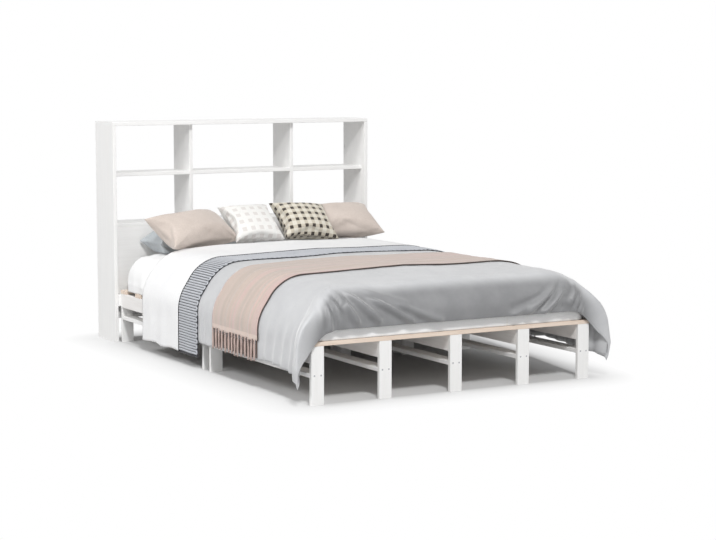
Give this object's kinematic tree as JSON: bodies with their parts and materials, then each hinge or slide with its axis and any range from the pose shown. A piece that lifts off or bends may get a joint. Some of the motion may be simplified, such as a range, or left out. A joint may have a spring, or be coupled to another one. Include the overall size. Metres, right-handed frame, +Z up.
{
  "type": "bookcase headboard bed",
  "caption": "Slatted bed with an open bookcase headboard, standing on lengthwise rows of flat board legs, made up with mattress, duvet, blanket, fringed throw and pillows.",
  "frame": {"origin": "bottom centre of the whole made-up bed, on the floor", "axes": "+Z up, +Y from the foot towards the headboard, +X to the right seen from the foot"},
  "size_m": [1.57, 2.367, 1.112],
  "materials": {
    "painted_pine": "satin white paint, faint grain",
    "pine_slats": "sawn pine under a thin white wash",
    "zinc_screws": "zinc plated",
    "dowel_beech": "fluted beech, unfinished",
    "mattress_ticking": "woven cotton ticking",
    "white_sheet": "plain cotton weave",
    "duvet_cotton": "sateen cotton, soft sheen",
    "blanket_white": "soft matte knit",
    "border_grey": "ribbed knit with dark ribs",
    "throw_rose": "brushed wool weave",
    "fringe_rose": "twisted wool yarn",
    "cushion_dark": "coarse woven check",
    "cushion_pale": "linen weave, pale plaid",
    "pillow_beige": "washed linen",
    "pillow_grey_blue": "washed linen"
  },
  "bodies": {
    "root": {"foot_leg_1": "painted_pine", "foot_leg_2": "painted_pine", "foot_leg_3": "painted_pine", "foot_leg_4": "painted_pine", "foot_leg_5": "painted_pine", "inner_legs_1": "painted_pine", "inner_legs_2": "painted_pine", "inner_legs_3": "painted_pine", "inner_legs_4": "painted_pine", "inner_legs_5": "painted_pine", "head_leg_1": "painted_pine", "head_leg_2": "painted_pine", "head_leg_3": "painted_pine", "head_leg_4": "painted_pine", "head_leg_5": "painted_pine", "upper_rails_row_1": "painted_pine", "upper_rails_row_2": "painted_pine", "upper_rails_row_3": "painted_pine", "upper_rails_row_4": "painted_pine", "upper_rails_row_5": "painted_pine", "lower_rails_row_1": "painted_pine", "lower_rails_row_2": "painted_pine", "lower_rails_row_3": "painted_pine", "lower_rails_row_4": "painted_pine", "lower_rails_row_5": "painted_pine", "centre_tie_board": "painted_pine", "slats_foot_half": "pine_slats", "slats_head_half": "pine_slats", "lower_rail_screws": "zinc_screws", "tie_board_screws": "zinc_screws", "slat_screws": "zinc_screws", "fixing_rail_screws": "zinc_screws", "upper_rail_dowels": "dowel_beech", "shelf_dowels": "dowel_beech", "carcass_dowels": "dowel_beech", "side_panel_left": "painted_pine", "side_panel_right": "painted_pine", "top_board": "painted_pine", "bottom_shelf": "painted_pine", "divider_left": "painted_pine", "divider_right": "painted_pine", "middle_shelf_left": "painted_pine", "middle_shelf_centre": "painted_pine", "middle_shelf_right": "painted_pine", "lower_front_panel": "painted_pine", "fixing_rail": "painted_pine", "mattress": "mattress_ticking", "fitted_sheet": "white_sheet", "duvet": "duvet_cotton", "blanket": "blanket_white", "blanket_ribbed_border": "border_grey", "throw": "throw_rose", "throw_fringe": "fringe_rose", "cushion_dark_check": "cushion_dark", "cushion_pale_plaid": "cushion_pale", "pillow_beige_left": "pillow_beige", "pillow_beige_right": "pillow_beige", "pillow_grey_blue": "pillow_grey_blue"}
  },
  "joints": []
}
